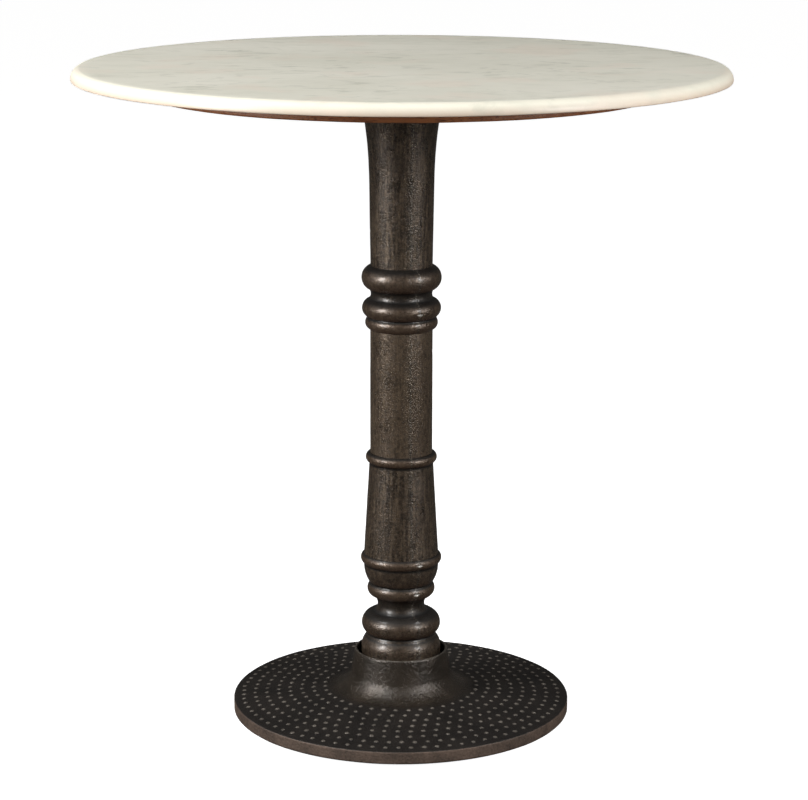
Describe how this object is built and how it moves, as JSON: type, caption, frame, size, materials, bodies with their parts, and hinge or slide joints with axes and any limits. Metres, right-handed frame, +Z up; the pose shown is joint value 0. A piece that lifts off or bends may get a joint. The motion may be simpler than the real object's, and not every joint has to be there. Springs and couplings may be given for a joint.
{
  "type": "bistro table",
  "caption": "Round marble-topped pedestal bistro table on a turned cast-iron column and a studded iron disc base.",
  "frame": {"origin": "on the floor, centred under the column", "axes": "+Z up along the column's axis, +X and +Y level"},
  "size_m": [0.7399, 0.74, 0.762],
  "materials": {
    "marble": "honed, with a softly polished edge",
    "silicone": "cured silicone",
    "stained_wood": "dark reddish stain, satin",
    "column_iron": "turned, dark bronze patina, waxed",
    "cast_iron": "as cast, dark patina",
    "plated_steel": "zinc plated",
    "black_nylon": "moulded nylon"
  },
  "bodies": {
    "table": {"marble_top": "marble", "silicone_dabs": "silicone", "wood_subtop": "stained_wood", "mounting_flange": "cast_iron", "flange_screws": "plated_steel", "head_washer": "plated_steel", "head_nut": "plated_steel", "tie_rod": "plated_steel", "upper_shaft": "column_iron", "double_ring_collar": "column_iron", "middle_shaft": "column_iron", "tapered_shaft": "column_iron", "lower_baluster": "column_iron", "base_casting": "cast_iron", "foot_washer": "plated_steel", "foot_nut": "plated_steel"},
    "leveller_right_rear": {"leveller_stem_right_rear": "plated_steel", "leveller_foot_right_rear": "black_nylon"},
    "leveller_left_rear": {"leveller_stem_left_rear": "plated_steel", "leveller_foot_left_rear": "black_nylon"},
    "leveller_left_front": {"leveller_stem_left_front": "plated_steel", "leveller_foot_left_front": "black_nylon"},
    "leveller_right_front": {"leveller_stem_right_front": "plated_steel", "leveller_foot_right_front": "black_nylon"}
  },
  "joints": [
    {"name": "leveller_right_rear_screw_out", "type": "slide", "parent": "table", "child": "leveller_right_rear", "axis": [0, 0, -1], "range_m": [0, 0.006]},
    {"name": "leveller_left_rear_screw_out", "type": "slide", "parent": "table", "child": "leveller_left_rear", "axis": [0, 0, -1], "range_m": [0, 0.006]},
    {"name": "leveller_left_front_screw_out", "type": "slide", "parent": "table", "child": "leveller_left_front", "axis": [0, 0, -1], "range_m": [0, 0.006]},
    {"name": "leveller_right_front_screw_out", "type": "slide", "parent": "table", "child": "leveller_right_front", "axis": [0, 0, -1], "range_m": [0, 0.006]}
  ]
}
